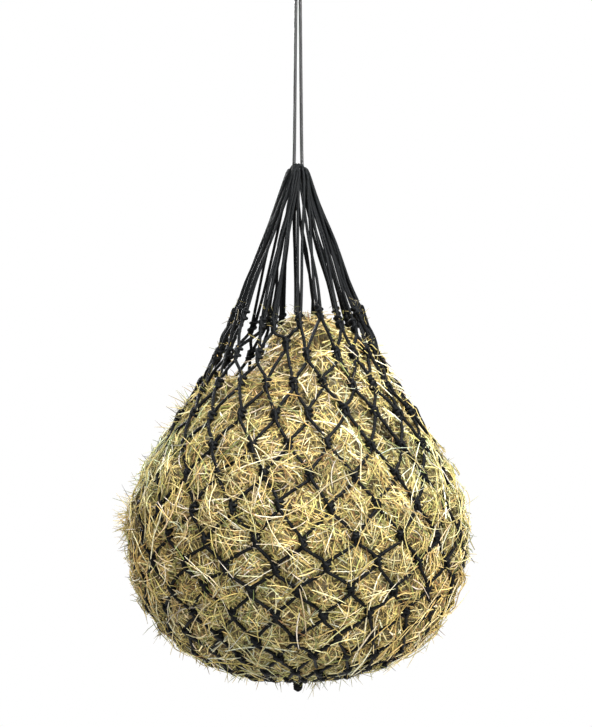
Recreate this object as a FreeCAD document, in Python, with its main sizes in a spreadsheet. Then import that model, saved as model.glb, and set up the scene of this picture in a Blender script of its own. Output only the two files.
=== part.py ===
"""Hay net, full of hay, hanging by its draw cord.  FreeCAD macro, millimetres.

The origin is the bearing point of the hanging eye, +Z is up and the front of the net faces -Y.
From the top down: hanging eye, eye knot, draw cord, gathered head, long top loops, then courses of
zigzag twine tied to each other in rows of knots, the base gather and the base loop.
"""
import FreeCAD
import Part
import math
import os

from FreeCAD import Placement, Rotation, Vector

DRIVING = {
    # cords
    "net_cord_dia": 5.0,
    "draw_cord_dia": 4.5,
    "running_gap": 0.3,
    # hanging eye and its knot
    "eye_bend_radius": 14.0,
    "eye_centre_level": -11.75,
    "eye_knot_top": -40.0,
    "eye_knot_height": 20.0,
    "eye_knot_radius": 8.5,
    "eye_knot_rounding": 5.0,
    "leg_half_gap_top": 2.6,
    # draw cord and gathered head
    "head_top": -289.0,
    "head_height": 83.0,
    "head_top_radius": 11.0,
    "head_foot_radius": 41.5,
    "head_crown_thickness": 28.0,
    "head_recess_top_radius": 10.0,
    "head_recess_foot_radius": 34.5,
    "head_bore_dia": 6.3,
    "bight_radius": 5.2,
    # outline of the hanging net, from the foot of the head down: a cone, then four tangent arcs
    "neck_radius": 38.5,
    "cone_angle": 21.35,
    "cone_length": 149.0,
    "flare_radius": 474.0,
    "flare_turn": 13.85,
    "shoulder_radius": 490.0,
    "shoulder_turn": 15.3,
    "belly_radius": 173.0,
    "belly_turn": 85.0,
    "base_radius": 260.0,
    "base_turn": 24.9,
    # netting
    "meshes_round": 22,
    "top_loop_length": 134.0,
    "upper_bar": 50.0,
    "lower_bar": 44.0,
    "upper_rows": 8,
    "row_lean": -0.75,
    "first_row_angle": -90.8,
    "knot_dia": 12.0,
    "knot_to_bar": 3.6,
    "loop_grip": 4.0,
    "loop_half_gap": 3.0,
    "bar_half_gap": 2.8,
    # base
    "base_gather_radius": 44.0,
    "base_gather_height": 8.0,
    "base_gather_rounding": 3.0,
    "base_loop_radius": 4.0,
    "base_loop_half_gap": 3.4,
    "base_loop_drop": 7.5,
    # hay
    "hay_gap": 9.5,
    "hay_rim": 212.0,
}

doc = FreeCAD.newDocument("hay_net")


def make_sheet(name, values):
    """A spreadsheet of plain numbers, each with its alias."""
    sheet = doc.addObject("Spreadsheet::Sheet", name)
    for row, (alias, value) in enumerate(values.items(), start=1):
        sheet.set(f"A{row}", alias)
        sheet.set(f"B{row}", repr(value))
        sheet.setAlias(f"B{row}", alias)
    doc.recompute()
    return sheet


sizes = make_sheet("Sizes", DRIVING)


def size(alias):
    return float(sizes.get(alias))


# ---------------------------------------------------------------- the net's outline

def outline_stretches():
    """Length and curvature of each stretch of the outline, from the neck to the base."""
    stretches = [(size("cone_length"), 0.0)]
    for name, side in (("flare", 1), ("shoulder", -1), ("belly", -1), ("base", -1)):
        radius = size(f"{name}_radius")
        stretches.append((radius * math.radians(size(f"{name}_turn")), side / radius))
    return stretches


STRETCHES = outline_stretches()
NECK_LEVEL = size("head_top") - size("head_height")
OUTLINE_LENGTH = sum(length for length, curvature in STRETCHES)


def outline(distance, inset=0.0):
    """Radius and level at a distance along the outline, moved in by inset."""
    radius, level = size("neck_radius"), NECK_LEVEL
    heading = math.radians(size("cone_angle"))
    for length, curvature in STRETCHES:
        run = min(distance, length)
        if curvature:
            end = heading + curvature * run
            radius += (math.cos(heading) - math.cos(end)) / curvature
            level -= (math.sin(end) - math.sin(heading)) / curvature
            heading = end
        else:
            radius += run * math.sin(heading)
            level -= run * math.cos(heading)
        distance -= run
        if distance <= 0:
            break
    return radius - inset * math.cos(heading), level - inset * math.sin(heading), heading


def on_net(distance, angle):
    """A point of the netting, at an angle in degrees about +Z."""
    radius, level, heading = outline(distance)
    turn = math.radians(angle)
    return Vector(radius * math.cos(turn), radius * math.sin(turn), level)


def knot_distances():
    """Where the knot rows lie: each bar of netting has its own full length."""
    half_mesh = 180.0 / size("meshes_round")
    rows = [size("top_loop_length")]
    while True:
        bar = size("upper_bar") if len(rows) < size("upper_rows") else size("lower_bar")
        start = on_net(rows[-1], 0.0)
        near, far = rows[-1], rows[-1] + bar
        if far > OUTLINE_LENGTH:
            break
        while far - near > 1e-6:
            middle = 0.5 * (near + far)
            if (on_net(middle, half_mesh) - start).Length < bar:
                near = middle
            else:
                far = middle
        if outline(far)[0] < size("base_gather_radius") + size("knot_dia"):
            break
        rows.append(far)
    return rows


def base_distance():
    """Where the netting goes into the base gather."""
    near, far = OUTLINE_LENGTH - size("base_radius") * math.radians(size("base_turn")), OUTLINE_LENGTH
    while far - near > 1e-6:
        middle = 0.5 * (near + far)
        if outline(middle)[0] > size("base_gather_radius") - size("loop_grip"):
            near = middle
        else:
            far = middle
    return far


KNOT_ROWS = knot_distances()
HALF_MESH = 180.0 / size("meshes_round")


def row_angle(row):
    """Angle of the first knot of a row; every other row sits half a mesh round."""
    return size("first_row_angle") + row * (size("row_lean") + HALF_MESH)


# ---------------------------------------------------------------- building blocks

def new_body(label):
    body = doc.addObject("PartDesign::Body", label)
    body.Label = label
    body.AllowCompound = True
    return body


def add(body, kind, name, place=None, **bound):
    """A PartDesign feature whose sizes are bound to cells."""
    feature = body.newObject(f"PartDesign::{kind}", name)
    for prop, expression in bound.items():
        feature.setExpression(prop, expression)
    if place:
        feature.Placement = place
    return feature


def rod(body, name, start, end, radius):
    """A straight length of cord from start to end."""
    way = end - start
    place = Placement(start, Rotation(Vector(0, 0, 1), way))
    feature = add(body, "AdditiveCylinder", name, place, Radius=radius)
    feature.Height = way.Length
    return feature


def pattern_round(body, feature):
    """Repeat a feature round the net's axis, once for each mesh."""
    axis = next(o for o in body.Origin.OriginFeatures if o.Role == "Z_Axis")
    pattern = body.newObject("PartDesign::PolarPattern", f"{feature.Name}_round")
    pattern.Originals = [feature]
    pattern.Axis = (axis, [""])
    pattern.Angle = 360
    pattern.setExpression("Occurrences", "Sizes.meshes_round")
    body.Tip = pattern
    doc.recompute()


def cord_bight(label, end_half_gap, end_level, centre_level, bend, dia):
    """A cord folded once: two straight legs with round ends, tangent to a round bend, in XZ."""
    body = new_body(label)
    bend_radius = size(bend)
    side = 1 if end_level > centre_level else -1
    rise = abs(end_level - centre_level)
    reach = math.hypot(end_half_gap, rise)
    touch = math.atan2(rise, end_half_gap) - math.acos(bend_radius / reach)
    radius = f"Sizes.{dia} / 2"
    for hand, name in ((1, "right"), (-1, "left")):
        tangent = Vector(hand * bend_radius * math.cos(touch), 0,
                         centre_level + side * bend_radius * math.sin(touch))
        end = Vector(hand * end_half_gap, 0, end_level)
        rod(body, f"leg_{name}", tangent, end, radius)
        add(body, "AdditiveSphere", f"end_{name}", Placement(end, Rotation()), Radius=radius)
    start = Vector(math.cos(touch), 0, side * math.sin(touch))
    normal = Vector(0, side, 0)
    place = Placement(Vector(0, 0, centre_level), Rotation(start, normal.cross(start), normal, "XZY"))
    arc = add(body, "AdditiveTorus", "bend", place, Radius1=f"Sizes.{bend}", Radius2=radius)
    arc.Angle3 = 180 + 2 * math.degrees(touch)
    doc.recompute()
    leg = math.sqrt(reach ** 2 - bend_radius ** 2)
    length = 2 * leg + bend_radius * math.radians(arc.Angle3.Value)
    print(f"{label}: bend radius {bend_radius:.1f}, centreline {length:.1f} mm long, "
          f"volume {body.Shape.Volume:.0f}, "
          f"section times length {math.pi * (size(dia) / 2) ** 2 * length:.0f}")
    return body


# ---------------------------------------------------------------- hanging eye, knot and draw cord

def make_hanging_eye():
    end_level = size("eye_knot_top") + size("running_gap") + size("draw_cord_dia") / 2
    return cord_bight("hanging_eye", size("leg_half_gap_top"), end_level, size("eye_centre_level"),
                      "eye_bend_radius", "draw_cord_dia")


def make_eye_knot():
    body = new_body("eye_knot")
    foot = size("eye_knot_top") - size("eye_knot_height")
    barrel = add(body, "AdditiveCylinder", "barrel", Placement(Vector(0, 0, foot), Rotation()),
                 Radius="Sizes.eye_knot_radius", Height="Sizes.eye_knot_height")
    doc.recompute()
    rounding = body.newObject("PartDesign::Fillet", "rounding")
    rims = [f"Edge{i}" for i, edge in enumerate(barrel.Shape.Edges, start=1)
            if edge.Curve.TypeId == "Part::GeomCircle"]
    rounding.Base = (barrel, rims)
    rounding.setExpression("Radius", "Sizes.eye_knot_rounding")
    body.Tip = rounding
    return body


def leg_pivot_level():
    """Level of the hinge under the eye knot, at the centres of the legs' round ends."""
    knot_foot = size("eye_knot_top") - size("eye_knot_height")
    return knot_foot - size("running_gap") - size("draw_cord_dia") / 2


def make_draw_cord():
    crown_foot = size("head_top") - size("head_crown_thickness")
    return cord_bight("draw_cord", size("leg_half_gap_top"), leg_pivot_level(),
                      crown_foot - size("running_gap"), "bight_radius", "draw_cord_dia")


def make_gathered_head():
    """The drawn-together tops of the loops, with the way through them for the draw cord."""
    body = new_body("gathered_head")
    foot = Placement(Vector(0, 0, NECK_LEVEL), Rotation())
    add(body, "AdditiveCone", "bundle", foot, Radius1="Sizes.head_foot_radius",
        Radius2="Sizes.head_top_radius", Height="Sizes.head_height")
    add(body, "SubtractiveCone", "recess", foot, Radius1="Sizes.head_recess_foot_radius",
        Radius2="Sizes.head_recess_top_radius", Height="Sizes.head_height - Sizes.head_crown_thickness")
    lean = Vector(size("bight_radius") - size("leg_half_gap_top"), 0,
                  -(leg_pivot_level() - size("head_top") + size("head_crown_thickness")))
    for hand, name in ((1, "right"), (-1, "left")):
        way = Vector(hand * lean.x, 0, lean.z)
        start = Vector(hand * size("leg_half_gap_top"), 0, leg_pivot_level())
        bore = add(body, "SubtractiveCylinder", f"bore_{name}",
                   Placement(start, Rotation(Vector(0, 0, 1), way)), Radius="Sizes.head_bore_dia / 2")
        bore.Height = way.Length + size("bight_radius")
    return body


# ---------------------------------------------------------------- netting

def make_top_loops():
    """The long loops of the first course: two legs from each knot up into the head."""
    body = new_body("top_loops")
    angle = row_angle(0)
    quarter_mesh = HALF_MESH / 2
    knot_end = size("top_loop_length") - size("knot_to_bar")
    radius = outline(knot_end)[0]
    spread = math.degrees(size("loop_half_gap") / radius)
    for hand, name in ((1, "right"), (-1, "left")):
        foot = on_net(knot_end, angle + hand * spread)
        top = on_net(0, angle + hand * quarter_mesh)
        top = top + (top - foot).normalize() * size("loop_grip")
        pattern_round(body, rod(body, f"leg_{name}", foot, top, "Sizes.net_cord_dia / 2"))
    return body


def make_mesh_row(row):
    """One course of twine: a zigzag from the knots of one row to those of the next."""
    body = new_body(f"mesh_row_{row + 1:02d}")
    step = size("knot_to_bar")
    last = row + 1 == len(KNOT_ROWS)
    top_distance = KNOT_ROWS[row] + step
    low_distance = base_distance() if last else KNOT_ROWS[row + 1] - step
    top_spread = math.degrees(size("bar_half_gap") / outline(top_distance)[0])
    low_spread = math.degrees(size("bar_half_gap") / outline(low_distance)[0])
    right_angle = row_angle(row + 1)
    left_angle = right_angle - 2 * HALF_MESH
    for hand, low_angle, name in ((1, right_angle, "right"), (-1, left_angle, "left")):
        top = on_net(top_distance, row_angle(row) + hand * top_spread)
        low = on_net(low_distance, low_angle - hand * low_spread)
        pattern_round(body, rod(body, f"bar_{name}", top, low, "Sizes.net_cord_dia / 2"))
    return body


def make_knot_row(row):
    body = new_body(f"knot_row_{row + 1:02d}")
    place = Placement(on_net(KNOT_ROWS[row], row_angle(row)), Rotation())
    knot = add(body, "AdditiveSphere", "knot", place, Radius="Sizes.knot_dia / 2")
    pattern_round(body, knot)
    return body


# ---------------------------------------------------------------- base and hay

def base_gather_foot():
    return outline(base_distance())[1] - size("base_gather_height") / 2


def make_base_gather():
    """The last course drawn together on a ring of twine."""
    body = new_body("base_gather")
    disc = add(body, "AdditiveCylinder", "disc",
               Placement(Vector(0, 0, base_gather_foot()), Rotation()),
               Radius="Sizes.base_gather_radius", Height="Sizes.base_gather_height")
    doc.recompute()
    rounding = body.newObject("PartDesign::Fillet", "rounding")
    rims = [f"Edge{i}" for i, edge in enumerate(disc.Shape.Edges, start=1)
            if edge.Curve.TypeId == "Part::GeomCircle"]
    rounding.Base = (disc, rims)
    rounding.setExpression("Radius", "Sizes.base_gather_rounding")
    body.Tip = rounding
    return body


def base_pivot_level():
    return base_gather_foot() - size("running_gap") - size("net_cord_dia") / 2


def make_base_loop():
    return cord_bight("base_loop", size("base_loop_half_gap"), base_pivot_level(),
                      base_pivot_level() - size("base_loop_drop"), "base_loop_radius",
                      "net_cord_dia")


def make_hay_core():
    """The packed hay: the net's own outline moved in, under a tangent dome."""
    gap = size("hay_gap")

    def corner(distance):
        radius, level, heading = outline(distance, gap)
        return Vector(radius, 0, level)

    rim, foot = size("hay_rim"), OUTLINE_LENGTH
    rim_radius, rim_level, rim_heading = outline(rim, gap)
    dome = rim_radius / math.cos(rim_heading)
    centre_level = rim_level - dome * math.sin(rim_heading)
    half_way = (math.pi / 2 + rim_heading) / 2
    crown = Vector(0, 0, centre_level + dome)
    shoulder = Vector(dome * math.cos(half_way), 0, centre_level + dome * math.sin(half_way))
    edges = [Part.Arc(crown, shoulder, corner(rim)).toShape()]
    start = 0.0
    for length, curvature in STRETCHES:
        first, last = max(start, rim), min(start + length, foot)
        start += length
        if last > first:
            middle = corner((first + last) / 2)
            edges.append(Part.Arc(corner(first), middle, corner(last)).toShape())
    low = corner(foot)
    axis_foot = Vector(0, 0, low.z)
    edges += [Part.makeLine(low, axis_foot), Part.makeLine(axis_foot, crown)]
    face = Part.Face(Part.Wire(edges))
    hay = doc.addObject("Part::Feature", "hay_core")
    hay.Label = "hay_core"
    hay.Shape = face.revolve(Vector(0, 0, 0), Vector(0, 0, 1), 360)
    return hay


def main():
    parts = [make_hanging_eye(), make_eye_knot(), make_draw_cord(), make_gathered_head(),
             make_top_loops()]
    for row in range(len(KNOT_ROWS)):
        parts += [make_knot_row(row), make_mesh_row(row)]
    parts += [make_base_gather(), make_base_loop(), make_hay_core()]
    doc.recompute()

    for item in doc.Objects:
        if "Invalid" in item.State or "Error" in item.State:
            raise RuntimeError(f"{item.Name} did not build: {item.State}")
    os.makedirs("parts", exist_ok=True)
    for part in parts:
        if part.Shape.isNull() or not part.Shape.isValid():
            raise RuntimeError(f"{part.Label} has no valid shape")
        part.Shape.exportStep(f"parts/{part.Label}.step")
        print(f"{part.Label}: {len(part.Shape.Solids)} solids, {part.Shape.Volume:.0f} mm3")
    for row, distance in enumerate(KNOT_ROWS, start=1):
        radius, level, heading = outline(distance)
        print(f"knot row {row}: radius {radius:.1f}, level {level:.1f}")
    print(f"leg pivot {leg_pivot_level():.2f}, neck {NECK_LEVEL:.2f}, "
          f"base pivot {base_pivot_level():.2f}, outline end {outline(OUTLINE_LENGTH)}")


main()
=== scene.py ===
import math

import bpy
import numpy as np
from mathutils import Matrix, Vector
from mathutils.kdtree import KDTree


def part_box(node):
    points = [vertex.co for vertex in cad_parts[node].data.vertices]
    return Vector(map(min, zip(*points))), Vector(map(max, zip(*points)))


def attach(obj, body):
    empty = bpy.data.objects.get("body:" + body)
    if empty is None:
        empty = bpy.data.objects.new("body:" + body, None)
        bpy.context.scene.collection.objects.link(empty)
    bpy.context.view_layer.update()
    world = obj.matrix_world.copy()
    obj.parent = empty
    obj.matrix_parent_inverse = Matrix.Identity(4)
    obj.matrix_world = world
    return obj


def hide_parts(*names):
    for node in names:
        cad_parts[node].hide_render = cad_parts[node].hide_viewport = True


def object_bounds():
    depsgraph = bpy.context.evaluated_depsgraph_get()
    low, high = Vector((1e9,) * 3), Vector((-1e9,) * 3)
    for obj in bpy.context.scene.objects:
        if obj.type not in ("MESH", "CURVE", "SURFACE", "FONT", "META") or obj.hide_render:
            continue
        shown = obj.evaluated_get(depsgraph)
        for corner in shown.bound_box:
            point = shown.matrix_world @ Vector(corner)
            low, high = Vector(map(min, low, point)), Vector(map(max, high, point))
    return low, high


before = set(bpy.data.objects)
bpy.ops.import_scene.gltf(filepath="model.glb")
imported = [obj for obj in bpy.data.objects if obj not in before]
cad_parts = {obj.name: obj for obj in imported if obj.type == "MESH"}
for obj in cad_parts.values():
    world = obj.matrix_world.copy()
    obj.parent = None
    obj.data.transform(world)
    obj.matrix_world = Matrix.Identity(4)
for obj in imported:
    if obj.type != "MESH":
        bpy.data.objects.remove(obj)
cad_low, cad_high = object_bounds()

MM = 0.001
TURN = 2 * math.pi
MESHES = 22
NET_CORD = 5.0 * MM
TIGHT_CORD = 3.9 * MM           # the same cord where the whole weight pulls it thin
DRAW_CORD = 4.5 * MM
rng = np.random.default_rng(11)


# ---------------------------------------------------------------- materials

class Shader:
    """A node material being put together: each call adds a node and returns its output."""

    def __init__(self, name):
        self.material = bpy.data.materials.new(name)
        self.material.use_nodes = True
        self.tree = self.material.node_tree
        self.surface = self.tree.nodes["Principled BSDF"]

    def node(self, kind, output=0, inputs=None, **settings):
        node = self.tree.nodes.new(kind)
        for key, value in settings.items():
            setattr(node, key, value)
        for key, value in (inputs or {}).items():
            if isinstance(value, bpy.types.NodeSocket):
                self.tree.links.new(value, node.inputs[key])
            else:
                node.inputs[key].default_value = value
        return node.outputs[output]

    def math(self, operation, first, second=0.0):
        return self.node("ShaderNodeMath", operation=operation, inputs={0: first, 1: second})

    def scaled(self, value, factor, base):
        output = self.math("MULTIPLY_ADD", value, factor)
        output.node.inputs[2].default_value = base
        return output

    def ramp(self, factor, stops):
        output = self.node("ShaderNodeValToRGB", inputs={0: factor})
        ramp = output.node.color_ramp
        while len(ramp.elements) < len(stops):
            ramp.elements.new(0.5)
        for element, (place, colour) in zip(ramp.elements, stops):
            element.position = place
            element.color = (*colour, 1)
        return output

    def noise(self, vector, scale, detail=3.0, roughness=0.6):
        return self.node("ShaderNodeTexNoise", inputs={"Vector": vector, "Scale": scale,
                                                       "Detail": detail, "Roughness": roughness})

    def stretched(self, vector, stretch, turn=(0, 0, 0)):
        return self.node("ShaderNodeMapping", inputs={"Vector": vector, "Scale": stretch,
                                                      "Rotation": turn})

    def bump(self, height, strength, distance):
        return self.node("ShaderNodeBump", inputs={"Height": height, "Strength": strength,
                                                   "Distance": distance})

    def finish(self, **sockets):
        for key, value in sockets.items():
            socket = self.surface.inputs[key.replace("_", " ")]
            if isinstance(value, bpy.types.NodeSocket):
                self.tree.links.new(value, socket)
            else:
                socket.default_value = value
        return self.material


def braided_cord(name, dark, light, pitch, roughness, shine):
    """Braided cord: two sets of strands crossing round the cord, with a painted highlight on their
    crowns and painted shade in the grooves.
    """
    make = Shader(name)
    uv = make.node("ShaderNodeUVMap", uv_map="cord")
    split = make.node("ShaderNodeSeparateXYZ", inputs={0: uv}).node
    around, along = split.outputs[0], split.outputs[1]
    lay = make.math("MULTIPLY", along, 1.0 / pitch)
    strands = make.math("MULTIPLY", around, 4.0)
    waves = []
    for operation in ("ADD", "SUBTRACT"):
        phase = make.math("MULTIPLY", make.math(operation, strands, lay), TURN)
        waves.append(make.math("SINE", phase))
    weave = make.math("MAXIMUM", waves[0], waves[1])
    height = make.scaled(weave, 0.5, 0.5)
    place = make.node("ShaderNodeTexCoord", output=3)
    fuzz = make.noise(place, 1500.0, 4.0, 0.7)
    wear = make.noise(place, 45.0, 3.0)
    mixed = make.math("ADD", make.math("MULTIPLY", height, 0.6), make.math("MULTIPLY", wear, 0.5))
    # painted highlight and shade: the strands' crowns take the light colour and the grooves the dark,
    # mixed with random wear
    colour = make.ramp(mixed, [(0.4, dark), (0.9, light)])
    relief = make.math("ADD", height, make.math("MULTIPLY", fuzz, 0.5))
    rough = make.scaled(fuzz, 0.25, roughness)
    return make.finish(Base_Color=colour, Roughness=rough, Specular_IOR_Level=shine,
                       Normal=make.bump(relief, 0.8, 0.5 * MM))


def hay_bed():
    """Packed hay seen between the loose stalks: short fibres lying three ways, coloured mostly near
    black as painted shade in the gaps between the stalks.
    """
    make = Shader("hay_bed")
    place = make.node("ShaderNodeTexCoord", output=3)
    layers = [make.noise(make.stretched(place, (800, 800, 110), turn), 1.0, 4.0, 0.7)
              for turn in ((0.5, 0.2, 0.0), (-0.6, 0.9, 0.4), (1.3, -0.4, 1.0))]
    fibres = make.math("MAXIMUM", make.math("MAXIMUM", layers[0], layers[1]), layers[2])
    clumps = make.noise(place, 70.0, 3.0)
    mixed = make.math("ADD", make.math("MULTIPLY", fibres, 0.8),
                      make.math("MULTIPLY", clumps, 0.35))
    # painted shade: the lower stops are near black for the dark gaps between stalks; the top stop is
    # the hay's own colour
    colour = make.ramp(mixed, [(0.45, (0.006, 0.004, 0.002)), (0.58, (0.035, 0.024, 0.008)),
                               (0.68, (0.13, 0.1, 0.033)), (0.85, (0.4, 0.32, 0.12))])
    return make.finish(Base_Color=colour, Roughness=0.85, Normal=make.bump(fibres, 1.0, 2.5 * MM))


def hay_stalks(name, roughness):
    """Loose stalks: each has its own tint, with darker joints and stains along it."""
    make = Shader(name)
    tint = make.node("ShaderNodeAttribute", attribute_name="tint")
    place = make.node("ShaderNodeTexCoord", output=3)
    stain = make.ramp(make.noise(place, 260.0, 3.0, 0.7),
                      [(0.3, (0.52, 0.44, 0.33)), (0.55, (1.0, 1.0, 1.0)), (0.8, (1.08, 1.05, 0.95))])
    colour = make.node("ShaderNodeMix", output=2, data_type="RGBA", blend_type="MULTIPLY",
                       inputs={0: 1.0, 6: tint, 7: stain})
    grain = make.noise(make.stretched(place, (2500, 2500, 700)), 1.0, 2.0)
    rough = make.scaled(grain, 0.3, roughness)
    return make.finish(Base_Color=colour, Roughness=rough, Normal=make.bump(grain, 0.35, 0.2 * MM))


# ---------------------------------------------------------------- mesh building

def new_mesh(name, points, faces, material, body):
    """A smooth mesh that rides on a body of the frame."""
    mesh = bpy.data.meshes.new(name)
    mesh.from_pydata(np.asarray(points).tolist(), [], faces)
    mesh.shade_smooth()
    mesh.materials.append(material)
    piece = bpy.data.objects.new(name, mesh)
    bpy.context.scene.collection.objects.link(piece)
    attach(piece, body)
    return piece


def smooth_line(points, divisions, closed=False):
    """Catmull-Rom line through the points."""
    points = np.asarray(points, float)
    if closed:
        before, after, beyond = (np.roll(points, shift, 0) for shift in (1, -1, -2))
        start = points
    else:
        padded = np.vstack([2 * points[0] - points[1], points, 2 * points[-1] - points[-2]])
        before, start, after, beyond = padded[:-3], padded[1:-2], padded[2:-1], padded[3:]
    line = []
    for step in np.arange(divisions) / divisions:
        line.append(0.5 * (2 * start + (after - before) * step
                           + (2 * before - 5 * start + 4 * after - beyond) * step ** 2
                           + (3 * start - before - 3 * after + beyond) * step ** 3))
    line = np.stack(line, 1).reshape(-1, points.shape[1])
    return line if closed else np.vstack([line, points[-1]])


def tube(name, line, radii, material, body, sides=8, closed=False):
    """A cord along a line, with a UV map of turns round it and metres along it."""
    line = np.asarray(line, float)
    count = len(line)
    radii = np.broadcast_to(radii, count)
    ahead = np.roll(line, -1, 0) - np.roll(line, 1, 0)
    if not closed:
        ahead[0], ahead[-1] = line[1] - line[0], line[-1] - line[-2]
    ahead /= np.linalg.norm(ahead, axis=1, keepdims=True)
    side = np.zeros_like(line)
    first = np.cross(ahead[0], (0.31, 0.2, 0.93))
    side[0] = first / np.linalg.norm(first)
    for i in range(1, count):
        kept = side[i - 1] - ahead[i] * np.dot(side[i - 1], ahead[i])
        side[i] = kept / np.linalg.norm(kept)
    other = np.cross(ahead, side)
    angles = np.arange(sides) / sides * TURN
    rim = (np.cos(angles)[None, :, None] * side[:, None]
           + np.sin(angles)[None, :, None] * other[:, None])
    points = (line[:, None] + rim * radii[:, None, None]).reshape(-1, 3)
    rings = np.arange(count if closed else count - 1)
    ring, corner = np.meshgrid(rings, np.arange(sides), indexing="ij")
    following, beside = (ring + 1) % count, (corner + 1) % sides
    faces = np.stack([ring * sides + corner, ring * sides + beside,
                      following * sides + beside, following * sides + corner], -1).reshape(-1, 4)
    faces = faces.tolist()
    lengths = np.linalg.norm(np.roll(line, -1, 0) - line, axis=1)
    along = np.concatenate([[0], np.cumsum(lengths)])
    low, high = along[ring], along[ring + 1]
    left, right = corner / sides, (corner + 1) / sides
    uv = np.stack([left, low, right, low, right, high, left, high], -1).reshape(-1, 2)
    if not closed:
        faces.append(list(range(sides))[::-1])
        faces.append([(count - 1) * sides + i for i in range(sides)])
        uv = np.vstack([uv, np.zeros((2 * sides, 2))])
    piece = new_mesh(name, points, faces, material, body)
    piece.data.uv_layers.new(name="cord").data.foreach_set("uv", uv.ravel())
    return piece


# ---------------------------------------------------------------- the frame's rows of knots

def ring_of(node):
    """Radius, level and angle of the first knot of a row of evenly spaced knots."""
    places = np.array([v.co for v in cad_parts[node].data.vertices])
    angle = np.arctan2(places[:, 1], places[:, 0])
    phase = np.angle(np.exp(1j * MESHES * angle).sum()) / MESHES
    low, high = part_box(node)
    return np.hypot(places[:, 0], places[:, 1]).mean(), (low.z + high.z) / 2, phase


ROWS = sorted(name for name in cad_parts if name.startswith("knot_row_"))
RINGS = [ring_of(name) for name in ROWS]
MESH_ANGLE = TURN / MESHES
row_radius = np.array([ring[0] for ring in RINGS])
row_level = np.array([ring[1] for ring in RINGS])
row_angle = [RINGS[0][2]]
for ring in RINGS[1:]:
    steps = round((row_angle[-1] + MESH_ANGLE / 2 - ring[2]) / MESH_ANGLE)
    row_angle.append(ring[2] + steps * MESH_ANGLE)
row_angle = np.array(row_angle)
HEAD_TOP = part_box("gathered_head")[1].z
BASE_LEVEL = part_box("base_gather")[0].z

# the knots stray from even rows, most of all in the slack rows above the hay
KNOT_STRAY = np.array([(4.5, 7.5, 1.5), (4.0, 5.0, 1.2), (3.2, 4.0, 1.0)]
                      + [(2.6, 2.8, 1.0)] * (len(ROWS) - 3))
KNOT_SHIFT = rng.normal(0, 1, (len(ROWS), MESHES, 3)).clip(-1.8, 1.8) * KNOT_STRAY[:, None] * MM
KNOT_ROLL = rng.normal(0, 0.35, (len(ROWS), MESHES))

# knots hang long where the cord is slack above the hay, and are pulled short round the belly
KNOT_LENGTH = [1.45, 1.4, 1.3, 1.1] + [0.9] * (len(ROWS) - 4)
KNOT_BREADTH = [0.85, 0.87, 0.9, 0.95] + [0.95] * (len(ROWS) - 4)


class Knot:
    """A knot's place and its own directions: right and up along the net, and out of it."""

    def __init__(self, row, column):
        radius, level = row_radius[row], row_level[row]
        above = max(row - 1, 0)
        below = min(row + 1, len(ROWS) - 1)
        slope = np.array([row_radius[above] - row_radius[below],
                          row_level[above] - row_level[below]])
        slope /= np.linalg.norm(slope)
        angle = row_angle[row] + column * MESH_ANGLE
        outward = np.array([math.cos(angle), math.sin(angle), 0])
        self.right = np.array([-math.sin(angle), math.cos(angle), 0])
        self.up = outward * slope[0] + np.array([0, 0, slope[1]])
        self.out = np.cross(self.right, self.up)
        shift = KNOT_SHIFT[row, column % MESHES]
        self.place = outward * radius + np.array([0, 0, level])
        self.place = self.place + self.right * shift[0] + self.up * shift[1] + self.out * shift[2]
        self.roll = KNOT_ROLL[row, column % MESHES]
        self.length, self.breadth = KNOT_LENGTH[row], KNOT_BREADTH[row]

    def at(self, points):
        """Points given in millimetres right, out and up of the knot."""
        points = np.asarray(points, float) * MM
        cos, sin = math.cos(self.roll), math.sin(self.roll)
        right = points[:, 0] * cos - points[:, 1] * sin
        out = points[:, 0] * sin + points[:, 1] * cos
        return (self.place + self.breadth * (right[:, None] * self.right + out[:, None] * self.out)
                + self.length * points[:, 2:3] * self.up)


# a sheet bend pulled tight: the upper cord's bight, and the lower cord wrapped round it
BIGHT = [(-2.4, 0.6, 6.5), (-1.8, 1.0, 1.5), (-1.6, 0.9, -4.0), (0.0, 0.6, -7.4),
         (1.6, 0.9, -4.0), (1.8, 1.0, 1.5), (2.4, 0.6, 6.5)]
WRAP = [(-2.2, -0.6, -8.2), (0.5, 1.5, -6.0), (3.7, 2.8, -4.6), (4.7, -0.6, -3.2),
        (1.6, -3.7, -2.0), (-3.3, -3.0, -0.6), (-4.8, 0.6, 0.6), (-1.6, 4.0, 1.6),
        (3.3, 3.3, 2.6), (4.8, -0.4, 3.4), (1.4, -3.7, 4.4), (-3.5, -2.9, 5.4),
        (-4.6, 0.8, 6.0), (-1.4, 4.2, 4.6), (1.6, 4.7, 0.0), (2.6, 2.8, -7.6)]
# the cord's size in a knot and along a bar, as a share of its full size
IN_KNOT, IN_BAR = 0.88, 0.87
# how far a bar's middle lies out from straight: a rising bar ends deeper in its knot
DOWN_SAG, RISE_SAG = 0.8 * MM, 2.6 * MM


def level_way(place):
    """The level direction from the net's axis out to a place."""
    outward = place * np.array([1, 1, 0])
    return outward / np.linalg.norm(outward)


def bar(start, end, sag):
    """The middle of a bar between two knots: a little out from straight, and a little off."""
    middle = (start + end) / 2
    return middle + level_way(middle) * sag + rng.normal(0, 0.6 * MM, 3)


# ---------------------------------------------------------------- netting

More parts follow.
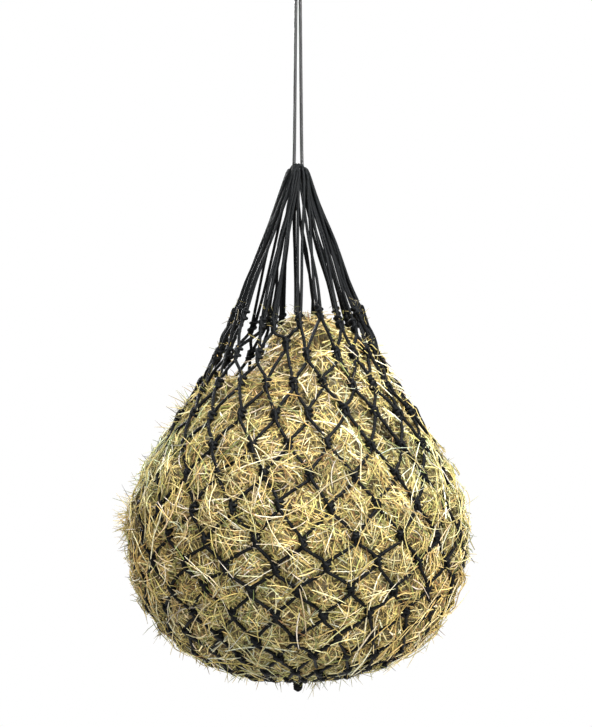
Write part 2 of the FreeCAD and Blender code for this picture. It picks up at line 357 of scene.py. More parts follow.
def make_course(row, material):
    """One course of twine: wraps at the knots of a row, bights in the knots of the next."""
    points, radii = [], []
    last = row + 1 == len(ROWS)
    for column in range(MESHES):
        knot, following = Knot(row, column), Knot(row, column + 1)
        wrap = knot.at(WRAP)
        if last:
            low = base_turn(knot, following, column)
        else:
            low = Knot(row + 1, column).at(BIGHT)
        down = bar(wrap[-1], low[0], DOWN_SAG)
        rise = bar(low[-1], following.at(WRAP)[0], RISE_SAG)
        points += [wrap, down, low, rise]
        radii += [IN_KNOT] * len(wrap) + [IN_BAR] + [IN_KNOT] * len(low) + [IN_BAR]
    line = smooth_line(np.vstack(points), 3, closed=True)
    radii = smooth_line(np.array(radii)[:, None], 3, closed=True)[:, 0]
    name = ROWS[row].replace("knot_row", "net_course")
    piece = tube(name, line, radii * NET_CORD / 2, material, "net", sides=7,
                 closed=True)
    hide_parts(ROWS[row], ROWS[row].replace("knot_row", "mesh_row"))
    return piece


# a turn of the last course under the net, in mm: from the axis, sideways and up
BASE_TURN = [(62, -4.0, 3.0), (38, -2.6, 1.5), (19, -2.4, 0.0), (13, 0, 0.0),
             (19, 2.4, 0.0), (38, 2.6, 1.5), (62, 4.0, 3.0)]
BASE_PILE = 2.4 * MM            # neighbouring turns lie on each other near the axis
PILED_WITHIN = 50               # mm from the axis


def base_turn(knot, following, column):
    """Where the last course goes in to the base gather and back out."""
    outward = level_way((knot.place + following.place) / 2)
    across = np.array([-outward[1], outward[0], 0])
    layer = (column % 3) * BASE_PILE
    floor = BASE_LEVEL + NET_CORD / 2
    turn = []
    for radius, side, rise in BASE_TURN:
        place = outward * radius * MM + across * side * MM
        turn.append(place + np.array([0, 0, floor + layer * (radius < PILED_WITHIN) + rise * MM]))
    return np.array(turn)


# a loop's top over the draw cord, in mm: across it, out from the middle, and down from its crown
HEAD_ARCH = [(-3.4, 5.2, 13), (-2.7, 2.2, 4.5), (0, 0, 0), (2.7, 2.2, 4.5), (3.4, 5.2, 13)]

# the loop tops are piled in a dome: those further out lie lower
HEAD_TWIST = math.radians(24)
HEAD_JITTER = rng.normal(0, math.radians(12), MESHES)
HEAD_RADIUS = 12.5 * MM
HEAD_REACH = rng.permutation(np.sqrt((np.arange(MESHES) + 0.4) / MESHES)) * HEAD_RADIUS
HEAD_DROP = (HEAD_REACH / HEAD_RADIUS) ** 2 * 8 * MM + rng.uniform(0, 2, MESHES) * MM
STRAND_SLACK = 1.3 * MM


def make_top_loops(material):
    """The long loops of the first course, drawn together at their tops on the draw cord."""
    points, radii = [], []
    for column in range(MESHES):
        knot, following = Knot(0, column), Knot(0, column + 1)
        low, low_next = knot.at(BIGHT), following.at(BIGHT)
        turn = row_angle[0] + (column + 0.5) * MESH_ANGLE + HEAD_TWIST + HEAD_JITTER[column]
        reach, level = HEAD_REACH[column], HEAD_TOP - HEAD_DROP[column]
        outward = np.array([math.cos(turn), math.sin(turn), 0])
        across = np.array([-outward[1], outward[0], 0])
        crown = outward * reach + np.array([0, 0, level - NET_CORD / 2])
        arch = crown + np.array([across * side * MM + outward * swell * MM - (0, 0, drop * MM)
                                 for side, swell, drop in HEAD_ARCH])
        climb = strand(low[-1], arch[0], column)
        descent = strand(low_next[0], arch[-1], column + 0.5)
        points += [low, climb, arch, descent[::-1]]
        radii += [IN_KNOT * NET_CORD / TIGHT_CORD] * len(low) + [1] * (2 * len(climb) + len(arch))
    line = smooth_line(np.vstack(points), 3, closed=True)
    radii = smooth_line(np.array(radii)[:, None], 3, closed=True)[:, 0]
    piece = tube("top_loops_drawn", line, radii * TIGHT_CORD / 2, material, "net",
                 closed=True)
    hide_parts("top_loops", "gathered_head")
    return piece


def strand(foot, top, seed):
    """A leg of a top loop: nearly straight, with a little slack of its own."""
    fractions = (0.2, 0.5, 0.8)
    wander = np.random.default_rng(int(100 + 2 * seed)).normal(0, 1, (3, 3)) * STRAND_SLACK
    return np.array([foot + (top - foot) * f + w for f, w in zip(fractions, wander)])


# ---------------------------------------------------------------- draw cord, eye and base loop

def nurbs_line(name, route):
    """Points along a smooth open cord that has the route as its control points."""
    curve = bpy.data.curves.new(name, "CURVE")
    curve.dimensions = "3D"
    curve.resolution_u = 10
    spline = curve.splines.new("NURBS")
    spline.points.add(len(route) - 1)
    for point, place in zip(spline.points, route):
        point.co = (*[x * MM for x in place], 1)
    spline.order_u = 3
    spline.use_endpoint_u = True
    holder = bpy.data.objects.new(name, curve)
    bpy.context.scene.collection.objects.link(holder)
    bpy.context.view_layer.update()
    mesh = bpy.data.meshes.new_from_object(holder)
    line = np.array([v.co for v in mesh.vertices])
    bpy.data.objects.remove(holder)
    bpy.data.meshes.remove(mesh)
    return line


def round_ended(line, radius):
    """The line with more points close to its two ends, and the radii that make both ends round."""
    depth = np.array([0.03, 0.15, 0.4, 0.75]) * radius
    rounding = np.sqrt(radius ** 2 - (radius - depth) ** 2)
    ends = []
    for tip, inner in ((line[0], line[1]), (line[-1], line[-2])):
        way = (inner - tip) / np.linalg.norm(inner - tip)
        ends.append(tip + way * depth[:, None])
    radii = np.concatenate([rounding, np.full(len(line) - 2, radius), rounding[::-1]])
    return np.vstack([ends[0], line[1:-1], ends[1][::-1]]), radii


# the draw cord's route in millimetres: down the left leg, through the loop tops, up the right leg
DRAW_ROUTE = [(-2.6, 0, -60.4), (-3.6, 0, -160.0), (-4.6, 0, -262.0), (-5.2, 0, -294.0),
              (-6.5, 0, -311.0), (-6.5, 0, -320.2), (-2.7, 0, -324.0), (2.7, 0, -324.0),
              (6.5, 0, -320.2), (6.5, 0, -311.0), (5.2, 0, -294.0), (4.6, 0, -262.0),
              (3.6, 0, -160.0), (2.6, 0, -60.4)]
# the eye's: up from its knot, over a hook and back
EYE_ROUTE = [(-2.6, 0, -39.7), (-8.0, 0, -29.0), (-14.2, 0, -15.5), (-13.4, 0, -4.0),
             (-6.6, 0, 2.24), (6.6, 0, 2.24), (13.4, 0, -4.0), (14.2, 0, -15.5), (8.0, 0, -29.0),
             (2.6, 0, -39.7)]
EYE_KNOT_TURNS = 3.0


def make_draw_cord(material):
    """The doubled cord that draws the net's mouth together."""
    path = nurbs_line("draw_cord_route", DRAW_ROUTE)
    line, radii = round_ended(path, DRAW_CORD / 2)
    piece = tube("draw_cord_line", line, radii, material, "cord", sides=12)
    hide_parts("draw_cord")
    return piece


def make_eye(material):
    """The loop that hangs the net on a hook."""
    path = nurbs_line("eye_route", EYE_ROUTE)
    line, radii = round_ended(path, DRAW_CORD / 2)
    piece = tube("hanging_eye_line", line, radii, material, "eye", sides=12)
    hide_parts("hanging_eye")
    return piece


def make_eye_knot(material):
    """The knot under the eye: the cord's end wrapped round its two legs and tucked back."""
    low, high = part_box("eye_knot")
    middle = (low.z + high.z) / 2
    steps = np.linspace(0, 1, 40)
    angle = steps * EYE_KNOT_TURNS * TURN
    reach = np.interp(steps, (0, 0.1, 0.9, 1), (2.5, 5.9, 5.9, 2.5)) * MM
    level = np.interp(steps, (0, 1), (-7.2, 7.2)) * MM + middle
    coil = np.stack([reach * np.cos(angle), reach * np.sin(angle), level], 1)
    core = np.array([(0, 0, low.z - 0.3 * MM), (-0.4 * MM, 0.3 * MM, middle),
                     (0, 0, high.z - 0.15 * MM)])
    wraps = tube("eye_knot_wraps", smooth_line(coil, 2), DRAW_CORD / 2, material, "knot",
                 sides=10)
    filling = smooth_line(core, 8)
    belly = 4.8 * MM * np.sin(np.linspace(0.9, math.pi - 0.9, len(filling))) ** 0.5
    legs = tube("eye_knot_legs", filling, belly, material, "knot", sides=16)
    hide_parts("eye_knot")
    return wraps, legs


def make_base_loop(material):
    """The tight loop that ends the net, with nearly four turns of twine round it."""
    low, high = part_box("base_loop")
    half = 0.88 * ((high.x - low.x) / 2 - NET_CORD / 2)
    top, foot = high.z - NET_CORD / 2, low.z + NET_CORD / 2
    drop = top - foot
    right = [(3.4 * MM, 0, top), (half, 0, top - 0.4 * drop), (0.95 * half, 0, foot + 0.22 * drop)]
    left = [(-x, y, z) for x, y, z in right]
    route = left + [(0, 0, foot - 0.03 * drop)] + right[::-1]
    loop = tube("base_loop_line", smooth_line(route, 6), NET_CORD / 2, material, "base_loop",
                sides=10)
    turns = np.linspace(0, 3.7, 56)
    level = top - (0.5 + 2.8 * turns) * MM
    reach = (1.1 - 0.07 * turns) * MM
    coil = np.stack([5.0 * reach * np.cos(turns * TURN), 3.8 * reach * np.sin(turns * TURN),
                     level], 1)
    wrap = tube("base_loop_wrap", coil, 1.7 * MM, material, "base_loop", sides=8)
    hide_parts("base_loop")
    return loop, wrap


def make_base_ring(material):
    """The ring of twine that gathers the last course, three turns of it."""
    steps = np.linspace(0, 3, 90)
    reach = (12.5 + 1.6 * np.sin(steps * 2.1)) * MM
    level = BASE_LEVEL + NET_CORD / 2 + (1.0 + steps * 1.4) * MM
    line = np.stack([reach * np.cos(steps * TURN), reach * np.sin(steps * TURN), level], 1)
    piece = tube("base_gather_ring", line, NET_CORD / 2, material, "net")
    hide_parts("base_gather")
    return piece


# ---------------------------------------------------------------- hay

def hay_outline():
    """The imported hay's outline, as distance from its centre against the angle up from level."""
    places = np.array([v.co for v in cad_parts["hay_core"].data.vertices])
    low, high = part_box("hay_core")
    centre = low.z + 0.42 * (high.z - low.z)
    radius, level = np.hypot(places[:, 0], places[:, 1]), places[:, 2] - centre
    angle, reach = np.arctan2(level, radius), np.hypot(radius, level)
    order = np.argsort(angle)
    return centre, angle[order], reach[order]


HAY_CENTRE, outline_angle, outline_reach = hay_outline()
HAY_MIDDLE = np.array([0, 0, HAY_CENTRE])
GRID_UP, GRID_ROUND = 200, 400  # cells of the hay's surface
grid_angle = np.linspace(-math.pi / 2, math.pi / 2, GRID_UP + 1)
core_reach = np.interp(grid_angle, outline_angle, outline_reach)
HAY_GAP = 9.5 * MM              # between the frame's hay and the line through the knots


def net_points():
    """Points every few millimetres along every bar and knot of the netting."""
    found = []
    fractions = np.linspace(0, 1, 12)[:, None]
    for row in range(len(ROWS) - 1):
        for column in range(MESHES):
            top = Knot(row, column).place
            for side in (0, -1):
                low = Knot(row + 1, column + side).place
                found.append(top + (low - top) * fractions)
    for column in range(MESHES):
        top = Knot(len(ROWS) - 1, column).place
        found.append(top + (np.array([0, 0, BASE_LEVEL]) - top) * fractions)
    return np.vstack(found)


def cord_distance(points, cords):
    """How far each point is from the nearest of the cords' points."""
    tree = KDTree(len(cords))
    for i, place in enumerate(cords):
        tree.insert(place, i)
    tree.balance()
    return np.array([tree.find(p)[2] for p in points])


def lumps(points, scale, seed):
    """Smooth lumps: a sum of a few plane waves, from -1 to 1."""
    waves = np.random.default_rng(seed)
    total = np.zeros(len(points))
    for turn in range(6):
        way = waves.normal(0, 1, 3)
        way *= scale / np.linalg.norm(way)
        total += np.sin(points @ way + waves.uniform(0, TURN))
    return total / 6


def net_reach():
    """The net's distance from the hay's centre: through the knots, or off the frame's hay below."""
    level = row_level - HAY_CENTRE
    knot_angle = np.arctan2(level, row_radius)[::-1]
    knot_reach = np.hypot(level, row_radius)[::-1]
    upper = grid_angle > knot_angle[2]
    return np.where(upper, np.interp(grid_angle, knot_angle, knot_reach), core_reach + HAY_GAP)


def blend(value, start, end):
    """0 at start, 1 at end, with a soft turn at both."""
    step = np.clip((value - start) / (end - start), 0, 1)
    return step * step * (3 - 2 * step)


SHELF_LEVEL = row_level[2] + 2 * MM
SHELF_RISE, SHELF_SLOPE = 42 * MM, (-20 * MM, 60 * MM)
MOUND_LEVEL = row_level[0] + 1 * MM
MOUND_PLACE, MOUND_WIDTH, MOUND_DEPTH = 14 * MM, 60 * MM, 72 * MM


def hay_top(x, y):
    """Level of the hay's top: a mound in the middle, and a shelf that rises to the right."""
    shelf = SHELF_LEVEL + SHELF_RISE * blend(x, *SHELF_SLOPE)
    away = np.hypot((x - MOUND_PLACE) / MOUND_WIDTH, y / MOUND_DEPTH)
    return shelf + (MOUND_LEVEL - shelf) * np.exp(-away ** 3)


HOLLOW_DEPTH = 12 * MM
HOLLOWS_BEGIN = (HAY_CENTRE + 20 * MM, HAY_CENTRE + 110 * MM)
DARKEST_HOLLOW = (0.62, -0.79)  # its angle up from level, and its turn from +X
DARKEST_RIM, DARKEST_FLOOR = 26 * MM, 14 * MM
DARKEST_DEPTH = 2.0             # times that of the others


def hollows(places):
    """How far the hay sinks into dark hollows: 0 to 1 over its upper part, and more in the darkest; the
    stalks' tint is also darkened by it as painted shade.
    """
    sunk = blend(places[:, 2], *HOLLOWS_BEGIN) * blend(lumps(places, 120.0, 12), 0.2, 0.45)
    up, turn = DARKEST_HOLLOW
    way = np.array([math.cos(up) * math.cos(turn), math.cos(up) * math.sin(turn), math.sin(up)])
    apart = places - HAY_MIDDLE
    away = np.where(apart @ way > 0, np.linalg.norm(np.cross(apart, way), axis=1), 1.0)
    return np.maximum(sunk, DARKEST_DEPTH * blend(away, DARKEST_RIM, DARKEST_FLOOR))


def reach_of_top(up, turn):
    """Where each line out of the hay's centre first meets the hay's top."""
    lengths = np.linspace(100, 320, 180) * MM
    flat = np.cos(up)[..., None] * lengths
    x, y = flat * np.cos(turn)[..., None], flat * np.sin(turn)[..., None]
    over = HAY_CENTRE + np.sin(up)[..., None] * lengths > hay_top(x, y)
    return np.where(over.any(-1), lengths[over.argmax(-1)], 1.0)


TAUT_FROM = (0.4, 0.8)          # angle up from level over which the net stops swelling
PRESSED_IN = 7 * MM             # by the cords
SWELLS_OUT = 12 * MM            # in the middle of a mesh
GRID_TURNS = np.linspace(0, TURN, GRID_ROUND, endpoint=False)


def hay_surface():
    """How far the hay reaches at each place of the grid: it swells out of every mesh."""
    up, turn = np.meshgrid(grid_angle, GRID_TURNS, indexing="ij")
    reach = np.repeat(net_reach()[:, None], GRID_ROUND, 1)
    places = hay_places(up, turn, reach).reshape(-1, 3)
    near = cord_distance(places, net_points())
    swell = blend(near, 0, 20 * MM)
    lump = lumps(places, 60.0, 3) * 3.5 * MM + lumps(places, 150.0, 4) * 2.5 * MM
    taut = 1 - 0.6 * blend(up.ravel(), *TAUT_FROM)
    pressed = reach.ravel() - PRESSED_IN + swell * (SWELLS_OUT + lump) * taut
    pressed = pressed.reshape(reach.shape)
    top = reach_of_top(up, turn)
    rough = ((lumps(places, 70.0, 5) + lumps(places, 190.0, 6)) * 6 * MM).reshape(reach.shape)
    slack = np.clip((pressed - top) / (14 * MM), 0, 1)
    reach = np.minimum(pressed, top + rough * slack)
    sunk = hollows(hay_places(up, turn, reach).reshape(-1, 3)).reshape(reach.shape)
    return reach - sunk * HOLLOW_DEPTH


def hay_places(up, turn, reach):
    """Places at angles up and round from the hay's centre, and a reach from it."""
    flat = reach * np.cos(up)
    return np.stack([flat * np.cos(turn), flat * np.sin(turn), HAY_CENTRE + reach * np.sin(up)], -1)


HAY_REACH = hay_surface()


def reach_at(up, turn):
    """The hay's reach between the places of the grid."""
    row = np.clip((up + math.pi / 2) / math.pi * GRID_UP, 0, GRID_UP - 1e-6)
    column = (turn % TURN) / TURN * GRID_ROUND
    i, j = row.astype(int), column.astype(int) % GRID_ROUND
    a, b = row - i, column - column.astype(int)
    k = (j + 1) % GRID_ROUND
    return ((HAY_REACH[i, j] * (1 - b) + HAY_REACH[i, k] * b) * (1 - a)
            + (HAY_REACH[i + 1, j] * (1 - b) + HAY_REACH[i + 1, k] * b) * a)


def make_hay_bed(material):
    """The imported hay's own surface, closed at its foot and crown."""
    up, turn = np.meshgrid(grid_angle[1:-1], GRID_TURNS, indexing="ij")
    places = hay_places(up, turn, HAY_REACH[1:-1]).reshape(-1, 3)
    rows = GRID_UP - 1
    i, j = np.meshgrid(np.arange(rows - 1), np.arange(GRID_ROUND), indexing="ij")
    k = (j + 1) % GRID_ROUND
    faces = np.stack([i * GRID_ROUND + j, i * GRID_ROUND + k, (i + 1) * GRID_ROUND + k,
                      (i + 1) * GRID_ROUND + j], -1).reshape(-1, 4).tolist()
    ends = np.array([[0, 0, HAY_CENTRE - HAY_REACH[0].mean()],
                     [0, 0, HAY_CENTRE + HAY_REACH[-1].mean()]])
    foot, crown = len(places), len(places) + 1
    last = (rows - 1) * GRID_ROUND
    for j in range(GRID_ROUND):
        k = (j + 1) % GRID_ROUND
        faces.append([foot, k, j])
        faces.append([crown, last + j, last + k])
    piece = new_mesh("hay_bed", np.vstack([places, ends]), faces, material, "net")
    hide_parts("hay_core")
    return piece


# straw, gold, olive, dull green, brown, two dark tints that are painted shade between the stalks, two
# pale tints, and their shares in a mix
TINTS = np.array([(0.61, 0.49, 0.18), (0.51, 0.39, 0.125), (0.38, 0.34, 0.10), (0.23, 0.25, 0.07),
                  (0.26, 0.14, 0.045), (0.08, 0.05, 0.013), (0.03, 0.02, 0.006), (0.68, 0.61, 0.34),
                  (0.74, 0.71, 0.54)])
# the deep mix is mostly the dark tints: painted shade under the loose stalks above
DEEP_PAINTED_SHADE_MIX = np.array([0.03, 0.08, 0.13, 0.12, 0.18, 0.24, 0.22, 0.0, 0.0])
FINE_MIX = np.array([0.25, 0.22, 0.15, 0.10, 0.08, 0.06, 0.03, 0.09, 0.02])
# the light mix is paler partly as the pale stalks' own colour and partly as painted light on the
# uppermost stalks
LIGHT_MIX = np.array([0.32, 0.18, 0.10, 0.06, 0.04, 0.01, 0.0, 0.19, 0.10])
LONG_MIX = np.array([0.22, 0.10, 0.04, 0.04, 0.03, 0.01, 0.0, 0.31, 0.25])


# parts of the hay: from and to in angles up from level, then in turns from +X
ALL_ROUND = (-1.45, 1.56, 0, TURN)
ABOVE_BASE = (-1.1, 1.56, 0, TURN)
LEFT_SHOULDER = (-0.5, 0.7, 2.9, 4.4)
MOUND = (0.7, 1.56, 0, TURN)
WIDEST_BAND = (-0.05, 0.6, 0, TURN)
DRAWN_EACH = 8                  # places drawn for each one kept
LARGEST_SPREAD = 0.056          # square metres: about the hay's largest reach, squared
DEEPEST_STALK = 1.5 * MM        # under the hay's surface


def scatter(count, draw, region):
    """Angles of places spread evenly over a part of the hay."""
    drawn = DRAWN_EACH * count
    up, turn = draw.uniform(*region[:2], drawn), draw.uniform(*region[2:], drawn)
    kept = draw.uniform(0, LARGEST_SPREAD, drawn) < reach_at(up, turn) ** 2 * np.cos(up)
    return up[kept][:count], turn[kept][:count]


def make_stalks(name, seed, count, lengths, widths, mix, material, lift, lean=0.15, hug=1.0,
                curl=0.12, stations=5, stem=False, region=ALL_ROUND):
    """A layer of stalks: lengths, widths and lift in mm.

    hug is how closely they follow the hay's surface: 1 lies all the way on it, 0 is straight.
    """
    draw = np.random.default_rng(seed)
    up, turn = scatter(count, draw, region)
    count = len(up)
    middle = hay_places(up, turn, reach_at(up, turn))
    out = middle - HAY_MIDDLE
    out /= np.linalg.norm(out, axis=1, keepdims=True)
    across = np.stack([-np.sin(turn), np.cos(turn), np.zeros(count)], 1)
    rise = np.cross(out, across)
    heading = lumps(middle, 45.0, 8) * 4 + draw.normal(0, 0.9, count)
    way = across * np.cos(heading)[:, None] + rise * np.sin(heading)[:, None]
    way = way + out * draw.normal(0, lean, count)[:, None]
    way /= np.linalg.norm(way, axis=1, keepdims=True)
    length = draw.uniform(*lengths, count) * MM
    width = draw.uniform(*widths, count) * MM
    bend = np.cross(out, way) * draw.normal(0, curl, count)[:, None]
    high = draw.uniform(*lift, (count, 1)) * MM * (1 - 0.75 * blend(up[:, None], *TAUT_FROM))
    steps = np.linspace(-0.5, 0.5, stations)
    line = (middle[:, None] + way[:, None] * (length[:, None] * steps)[..., None]
            + bend[:, None] * (length[:, None] * (steps ** 2) * 4)[..., None])
    line_up = np.arctan2(line[..., 2] - HAY_CENTRE, np.hypot(line[..., 0], line[..., 1]))
    line_turn = np.arctan2(line[..., 1], line[..., 0])
    reach = np.linalg.norm(line - HAY_MIDDLE, axis=-1) + high
    if hug:
        surface = reach_at(line_up, line_turn)
        reach = (surface + high) * hug + reach * (1 - hug)
        reach = np.maximum(reach, surface - DEEPEST_STALK)
    line = hay_places(line_up, line_turn, reach)
    return blades(name, line, width, out, mix, material, draw, stem)


# tufts that stick out through the net: turn from +X, angle up from level, stalks, reach in mm
TUFTS = [(3.05, 0.26, 60, 32), (3.22, 0.04, 110, 42), (3.05, -0.1, 50, 30), (-0.05, 0.12, 44, 24),
         (3.35, -0.34, 60, 26), (3.3, 0.42, 50, 28), (3.45, -0.62, 60, 24), (3.6, -0.9, 50, 22),
         (0.1, -0.08, 36, 22), (-0.2, 0.45, 30, 20), (2.9, 0.6, 30, 18), (-1.5, -1.15, 40, 16),
         (-1.9, -1.0, 36, 16), (-1.1, -1.05, 40, 16), (1.2, 0.1, 36, 24), (2.1, -0.3, 36, 22),
         (0.9, 0.5, 30, 20), (-2.6, -0.75, 36, 20), (-0.5, -0.8, 36, 18), (-0.3, -0.65, 50, 22),
         (-2.3, -1.05, 50, 20), (-0.7, -1.05, 50, 20), (-1.3, -1.3, 40, 16), (3.08, 0.92, 50, 26),
         (3.35, 0.8, 60, 30), (3.0, 0.7, 50, 28), (3.65, 0.98, 44, 24), (-0.9, -1.36, 60, 34),
         (-0.5, -1.2, 60, 28), (-0.25, -1.0, 40, 24), (-2.75, -1.15, 40, 24), (-2.4, -1.35, 32, 22)]


def make_tufts(name, seed, material):
    """The tufts: each stalk starts under the surface and points more or less outwards."""
    draw = np.random.default_rng(seed)
    lines, outs = [], []
    steps = np.linspace(0, 1, 5)[:, None]
    for turn, up, count, reach in TUFTS:
        for stalk in range(count):
            angle, rise = turn + draw.normal(0, 0.07), up + draw.normal(0, 0.06)
            angle, rise = np.array(angle), np.array(rise)
            foot = hay_places(rise, angle, reach_at(rise, angle))
            out = foot - HAY_MIDDLE
            out /= np.linalg.norm(out)
            way = out + draw.normal(0, 0.75, 3)
            way /= np.linalg.norm(way)
            way = way if way @ out > 0.1 else way - 2 * out * min(way @ out, 0) + 0.2 * out
            bend = draw.normal(0, 0.22, 3)
            length = draw.uniform(0.35, 1) * reach * MM
            lines.append(foot - out * 3 * MM + (way * steps + bend * steps ** 2) * length)
            outs.append(out)
    width = draw.uniform(0.6, 1.2, len(lines)) * MM
    return blades(name, np.array(lines), width, np.array(outs), FINE_MIX, material, draw, True)


WISPS = 320


def make_wisps(name, seed, material):
    """Odd bits of hay caught on the strands and knots above the hay."""
    draw = np.random.default_rng(seed)
    lines, outs = [], []
    steps = np.linspace(-0.5, 0.5, 5)[:, None]
    for wisp in range(WISPS):
        knot = Knot(draw.integers(0, 3), draw.integers(0, MESHES))
        place = knot.place + knot.up * draw.uniform(-12, 22) * MM + knot.right * draw.normal(0, 3) * MM
        way, bend = draw.normal(0, 1, 3), draw.normal(0, 0.3, 3)
        way /= np.linalg.norm(way)
        lines.append(place + knot.out * 2 * MM
                     + (way * steps + bend * steps ** 2) * draw.uniform(7, 26) * MM)
        outs.append(knot.out)
    width = draw.uniform(0.5, 1.0, len(lines)) * MM
    return blades(name, np.array(lines), width, np.array(outs), LIGHT_MIX, material, draw, True)


HAY_LIMIT = cad_high[0] + 21 * MM  # how far a stalk may reach from the net's axis


def kept_close(line):
    """Shrinks a stalk towards its foot where its tip would reach too far out."""
    reach = np.hypot(line[..., 0], line[..., 1])
    foot, farthest = reach[:, 0], reach.max(1)
    share = np.where(farthest > HAY_LIMIT, (HAY_LIMIT - foot) / (farthest - foot + 1e-9), 1.0)
    return line[:, :1] + (line - line[:, :1]) * share.clip(0.1, 1)[:, None, None]


def blades(name, line, width, out, mix, material, draw, stem):
    """Flat blades, or three-sided stems, along the lines."""
    line = kept_close(line)
    count, stations = line.shape[:2]
    ahead = np.gradient(line, axis=1)
    ahead /= np.linalg.norm(ahead, axis=-1, keepdims=True) + 1e-9
    side = np.cross(ahead, out[:, None])
    side /= np.linalg.norm(side, axis=-1, keepdims=True) + 1e-9
    over = np.cross(side, ahead)
    roll = draw.normal(0, 0.6, count)[:, None, None]
    taper = np.interp(np.linspace(0, 1, stations), (0, 0.15, 0.8, 1), (0.6, 1, 0.9, 0.35))
    half = (width[:, None] * taper / 2)[..., None]
    if stem:
        angles = [TURN * (1 / 4 + corner / 3) for corner in range(3)]
        rim = [line + half * (side * math.cos(a) + over * math.sin(a)) for a in angles]
    else:
        turned = side * np.cos(roll) + over * np.sin(roll)
        rim = [line - half * turned, line + half * turned]
    around = len(rim)
    points = np.stack(rim, 2).reshape(-1, 3)
    stalk, step, edge = np.meshgrid(np.arange(count), np.arange(stations - 1),
                                    np.arange(around if stem else 1), indexing="ij")
    first = (stalk * stations + step) * around
    beside = (edge + 1) % around
    faces = np.stack([first + edge, first + beside, first + around + beside, first + around + edge],
                     -1).reshape(-1, 4)
    # each stalk has a cell of its own in the map
    cells = math.ceil(math.sqrt(count))
    column, row = stalk % cells, stalk // cells
    left = (column + 0.15 + 0.7 * edge / max(around - 1, 1) * (0.6 if stem else 0)) / cells
    right = left + 0.35 * (0.6 if stem else 2) / cells
    low = (row + 0.15 + 0.7 * step / (stations - 1)) / cells
    high = low + 0.7 / (stations - 1) / cells
    uv = np.stack([left, low, right, low, right, high, left, high], -1).reshape(-1, 2)
    piece = new_mesh(name, points, faces.tolist(), material, "net")
    piece.data.uv_layers.new(name="OFBake").data.foreach_set("uv", uv.ravel())
    tint = TINTS[draw.choice(len(TINTS), count, p=mix / mix.sum())]
    tint = tint * draw.uniform(0.55, 1.14, (count, 1)) * draw.uniform(0.92, 1.08, (count, 3))
    # patches of the hay are browner or greener, lighter or darker, than the rest
    middle = line.mean(1)
    warm, pale = lumps(middle, 26.0, 9)[:, None], lumps(middle, 55.0, 10)[:, None]
    tint = tint * (1 + warm * np.array([0.22, 0.02, -0.12])) * (1 + 0.3 * pale)
    # painted shade: stalks in the hollows are darkened in step with how far the hay sinks there
    tint = tint * (1 - 0.45 * hollows(middle)[:, None])
    shade = np.repeat(np.clip(tint, 0, 1), stations * around, 0)
    colours = np.hstack([shade, np.ones((len(shade), 1))])
    layer = piece.data.color_attributes.new("tint", "FLOAT_COLOR", "POINT")
    layer.data.foreach_set("color", colours.ravel())
    return piece


# ---------------------------------------------------------------- camera, floor and light

# the camera stands level with the belly's shoulder; the picture's middle is a little higher
EYE_LEVEL = -0.6417
CAMERA_AWAY = 2.5
CAMERA_ASIDE = -2.6 * MM
PICTURE_HEIGHT = 956.732 * MM   # what the picture takes in at the net's axis
PICTURE_RISE = 0.0915           # of the picture's height
SKY_LIGHT = 0.42
FLOOR_GLOW = 0.67
FLOOR_HALF = 20.0
HANGS_ABOVE_FLOOR = 4.0
LIGHTS_AIM = Vector((0, 0, -0.65))


def make_camera():
    camera = bpy.data.cameras.new("camera")
    camera.sensor_width = 36        # of the picture's long side, which is its height
    camera.lens = camera.sensor_width * CAMERA_AWAY / PICTURE_HEIGHT
    camera.shift_y = PICTURE_RISE
    camera.clip_end = 100
    holder = bpy.data.objects.new("camera", camera)
    holder.location = (CAMERA_ASIDE, -CAMERA_AWAY, EYE_LEVEL)
    holder.rotation_euler = (math.pi / 2, 0, 0)
    bpy.context.scene.collection.objects.link(holder)
    bpy.context.scene.camera = holder


def make_light(name, place, size, power):
    light = bpy.data.lights.new(name, "AREA")
    light.shape = "DISK"
    light.size = size
    light.energy = power
    holder = bpy.data.objects.new(name, light)
    holder.location = place
    aim = LIGHTS_AIM - Vector(place)
    holder.rotation_euler = aim.to_track_quat("-Z", "Y").to_euler()
    bpy.context.scene.collection.objects.link(holder)


def make_world():
    """A white backdrop that lights the object as a dimmer sky."""
    world = bpy.data.worlds.new("studio")
    world.use_nodes = True
    tree = world.node_tree
    tree.nodes["Background"].inputs[0].default_value = (1, 1, 1, 1)
    seen = tree.nodes.new("ShaderNodeLightPath").outputs["Is Camera Ray"]
    glow = tree.nodes.new("ShaderNodeMath")
    glow.operation = "MULTIPLY_ADD"
    tree.links.new(seen, glow.inputs[0])
    glow.inputs[1].default_value, glow.inputs[2].default_value = 1 - SKY_LIGHT, SKY_LIGHT
    tree.links.new(glow.outputs[0], tree.nodes["Background"].inputs[1])
    bpy.context.scene.world = world
    bpy.context.scene.view_settings.view_transform = "Standard"


def make_floor():
    """A wide white floor, far enough below for a look at the net's base."""
    make = Shader("studio_floor")
    grain = make.noise(make.node("ShaderNodeTexCoord", output=3), 6.0)
    make.finish(Base_Color=make.ramp(grain, [(0.2, (0.80, 0.80, 0.79)), (0.8, (0.84, 0.84, 0.83))]),
                Roughness=0.95, Emission_Color=(1, 1, 1, 1), Emission_Strength=FLOOR_GLOW)
    level = cad_low[2] - HANGS_ABOVE_FLOOR
    corners = [(FLOOR_HALF * x, FLOOR_HALF * y, level) for x, y in ((-1, -1), (1, -1), (1, 1), (-1, 1))]
    mesh = bpy.data.meshes.new("studio_floor")
    mesh.from_pydata(corners, [], [(0, 1, 2, 3)])
    mesh.materials.append(make.material)
    floor = bpy.data.objects.new("studio_floor", mesh)
    bpy.context.scene.collection.objects.link(floor)


# ---------------------------------------------------------------- everything together

make_camera()
make_world()
make_light("key", (2.2, -1.9, 0.9), 0.6, 182)
make_light("fill", (-0.6, -2.6, -0.9), 0.9, 36)
make_light("top", (0.3, -0.7, 1.1), 0.7, 80)
make_light("back", (-1.6, 2.2, 0.8), 0.9, 120)
make_floor()
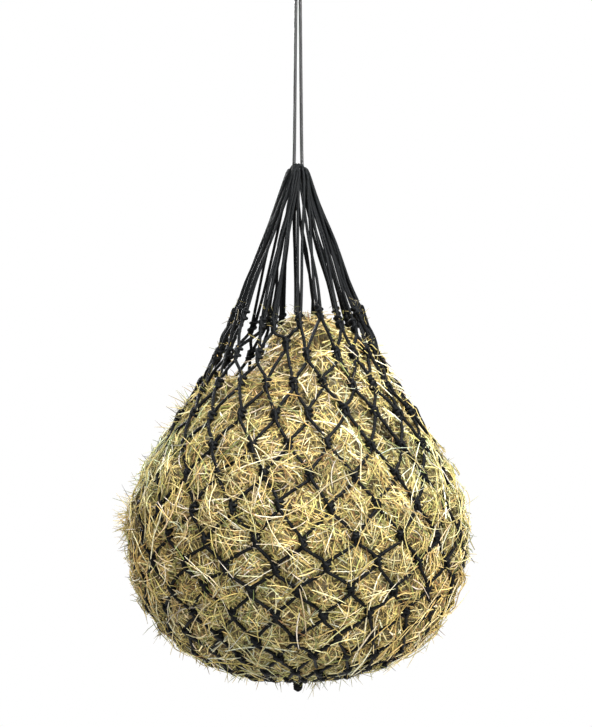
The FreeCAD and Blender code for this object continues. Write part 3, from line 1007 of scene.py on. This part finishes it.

# the cords' light colours are painted highlights on the strand crowns, the dark colours the black cord
# with painted shade in its grooves
net_cord = braided_cord("net_cord", dark=(0.0002, 0.0002, 0.0002), light=(0.005, 0.006, 0.0068),
                        pitch=6 * MM, roughness=0.4, shine=0.08)
draw_cord = braided_cord("draw_cord", dark=(0.001, 0.001, 0.001), light=(0.015, 0.015, 0.015),
                         pitch=5 * MM, roughness=0.2, shine=0.45)
make_draw_cord(draw_cord)
make_eye(draw_cord)
make_eye_knot(draw_cord)
make_top_loops(net_cord)
for row in range(len(ROWS)):
    make_course(row, net_cord)
make_base_ring(net_cord)
make_base_loop(net_cord)

make_hay_bed(hay_bed())
fine, bright = hay_stalks("hay_fine", 0.6), hay_stalks("hay_bright", 0.45)
# the deepest layers take the dark mix: painted shade under the loose stalks above
for layer in range(2):
    make_stalks(f"hay_deep_painted_shade_{layer + 1}", 20 + layer, 7000, (10, 36), (0.8, 1.9), DEEP_PAINTED_SHADE_MIX, fine,
                lift=(-1, 0.5), stations=4)
for layer in range(3):
    make_stalks(f"hay_fine_{layer + 1}", 24 + layer, 8200, (7, 28), (0.7, 1.7), FINE_MIX, fine,
                lift=(0.5, 3), lean=0.25, curl=0.1, hug=0.7, stations=4)
# the upper layers take the light mix: partly painted light on the top stalks
for layer in range(2):
    make_stalks(f"hay_light_{layer + 1}", 28 + layer, 3600, (8, 34), (0.8, 1.9), LIGHT_MIX, bright,
                lift=(2, 6), lean=0.28, hug=0.4, curl=0.08, stations=4)
make_stalks("hay_stems", 40, 2400, (14, 46), (0.9, 1.8), LIGHT_MIX, fine, lift=(2, 8), hug=0.3,
            stem=True, curl=0.07)
make_stalks("hay_over", 41, 1000, (30, 95), (1.1, 2.2), LONG_MIX, bright, lift=(5, 10), hug=0.3,
            stem=True, curl=0.08, region=ABOVE_BASE)
make_stalks("hay_caught", 45, 420, (12, 55), (0.9, 1.9), LIGHT_MIX, bright, lift=(4, 11),
            lean=0.25, hug=0.4, stem=True, curl=0.15, region=LEFT_SHOULDER)
make_stalks("hay_stray", 42, 1700, (10, 32), (0.7, 1.4), FINE_MIX, fine, lift=(1, 6), lean=0.9,
            hug=0, stem=True, curl=0.3)
make_stalks("hay_mound", 46, 1100, (14, 44), (0.9, 2.0), LIGHT_MIX, bright, lift=(6, 20),
            lean=0.45, hug=0.25, stem=True, curl=0.12, region=MOUND)
make_stalks("hay_matted", 47, 520, (14, 42), (0.9, 1.9), LIGHT_MIX, fine, lift=(6, 11), lean=0.2,
            hug=0.4, stem=True, curl=0.1, region=WIDEST_BAND)
make_tufts("hay_tufts", 43, fine)
make_wisps("hay_wisps", 44, fine)
